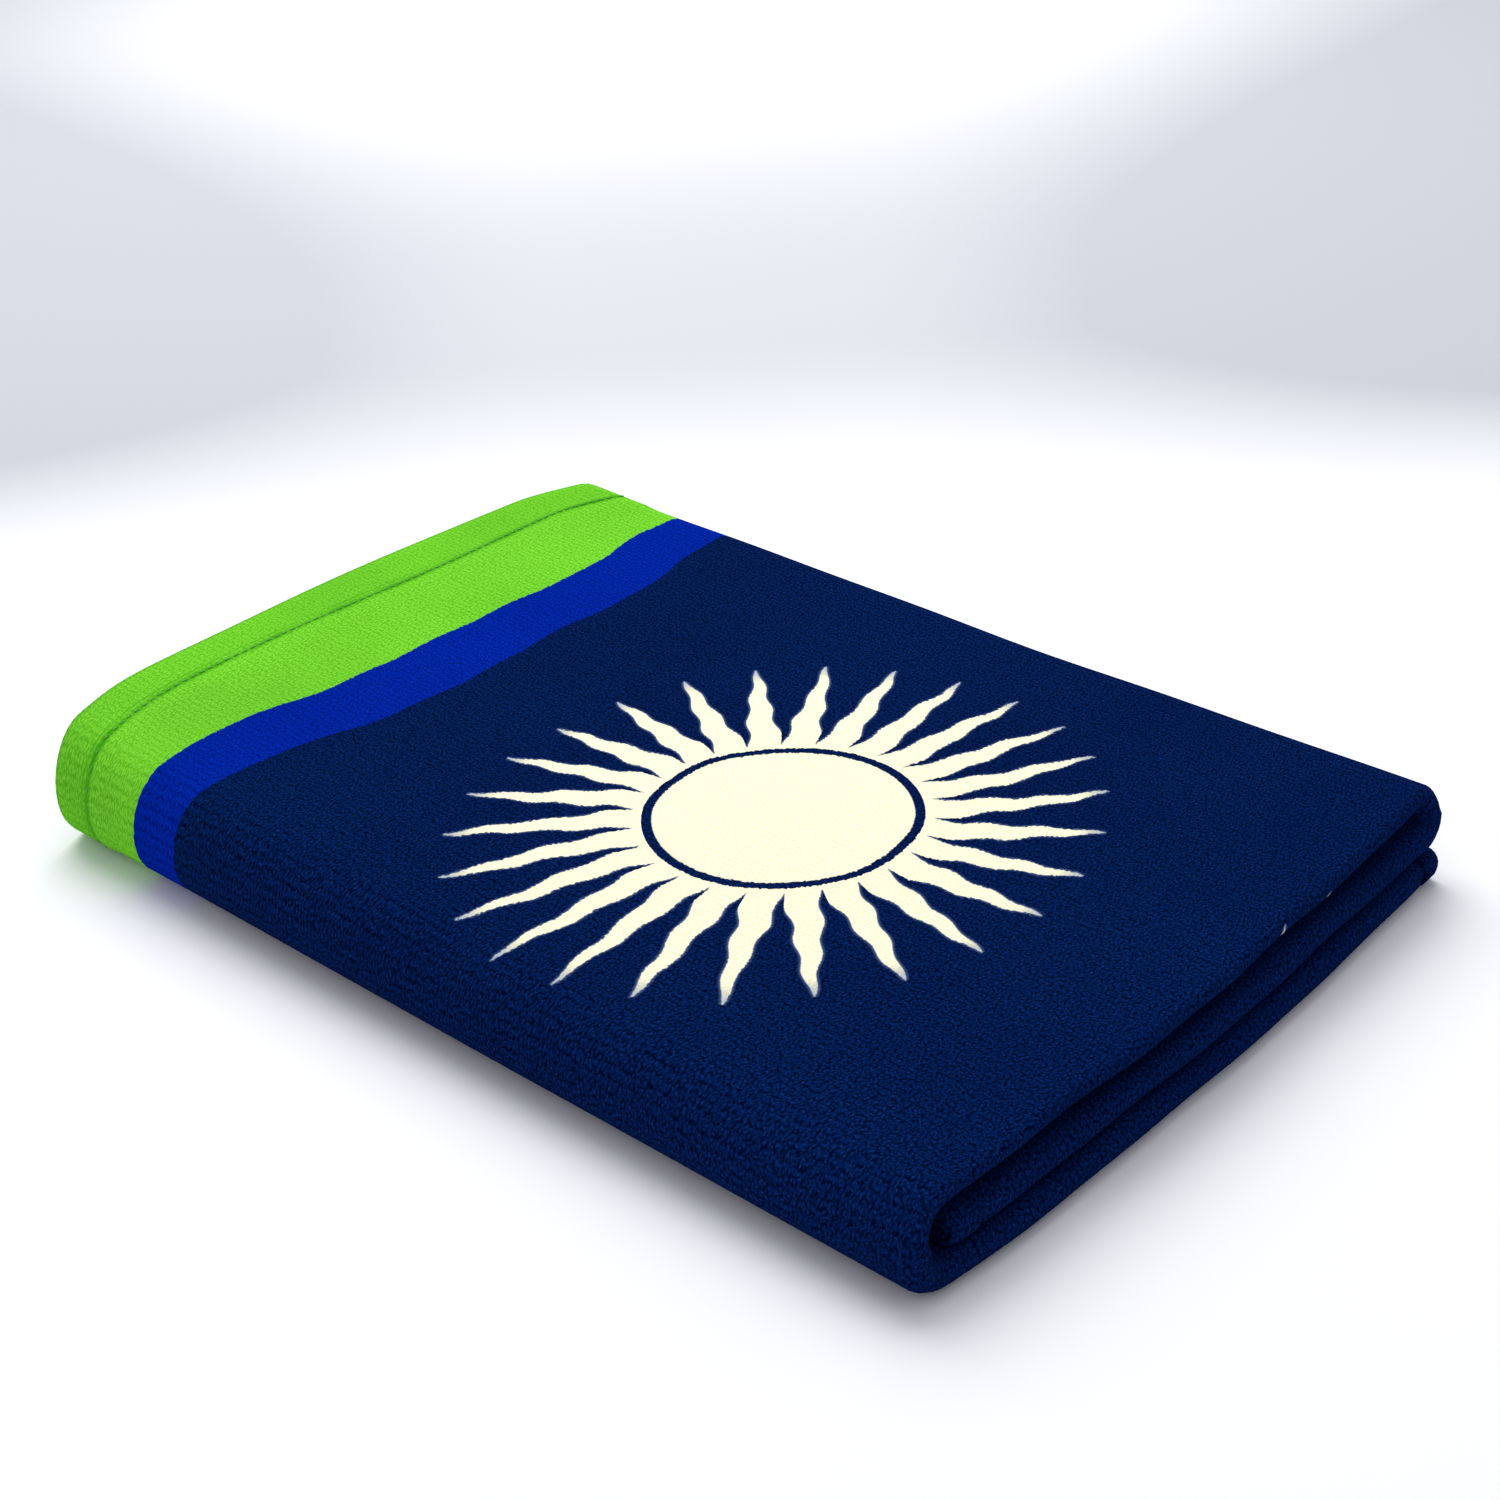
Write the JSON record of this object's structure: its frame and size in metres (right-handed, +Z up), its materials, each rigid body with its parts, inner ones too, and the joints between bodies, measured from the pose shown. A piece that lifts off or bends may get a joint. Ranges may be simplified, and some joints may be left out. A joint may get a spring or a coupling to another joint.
{
  "type": "folded quick dry towel",
  "caption": "Terry travel towel folded flat, navy with a green end band, a blue stripe and a cream sun with wavy rays, hemmed ends and sides.",
  "frame": {"origin": "Middle of the underside of the folded towel, on the surface that it lies on", "axes": "+Z up; +X along the folded length to the end that shows only folds; -Y towards the long side with the one tall fold"},
  "size_m": [0.382, 0.25, 0.0301],
  "materials": {
    "navy_terry": "looped terry pile, ribbed along the length",
    "green_terry": "looped terry pile",
    "blue_terry": "looped terry pile",
    "cream_terry": "looped terry pile, slightly raised",
    "green_thread": "twisted polyester sewing thread",
    "navy_thread": "twisted polyester sewing thread",
    "label_satin": "blank woven satin ribbon"
  },
  "bodies": {
    "root": {"outer_end_hem": "green_terry", "green_end_band": "green_terry", "blue_stripe": "blue_terry", "navy_field": "navy_terry", "outer_right_fold": "navy_terry", "inner_end_hem": "green_terry", "inner_green_band": "green_terry", "inner_blue_stripe": "blue_terry", "second_quarter": "navy_terry", "inner_right_fold": "navy_terry", "third_quarter": "navy_terry", "fourth_quarter": "navy_terry", "left_middle_fold": "navy_terry", "tucked_side_hem": "navy_terry", "rear_side_hem": "navy_terry", "outer_hem_thread": "green_thread", "inner_hem_thread": "green_thread", "tucked_side_thread": "navy_thread", "rear_side_thread": "navy_thread", "care_label": "label_satin", "label_stitches": "navy_thread", "sun_disc": "cream_terry", "sun_rays": "cream_terry"}
  },
  "joints": []
}
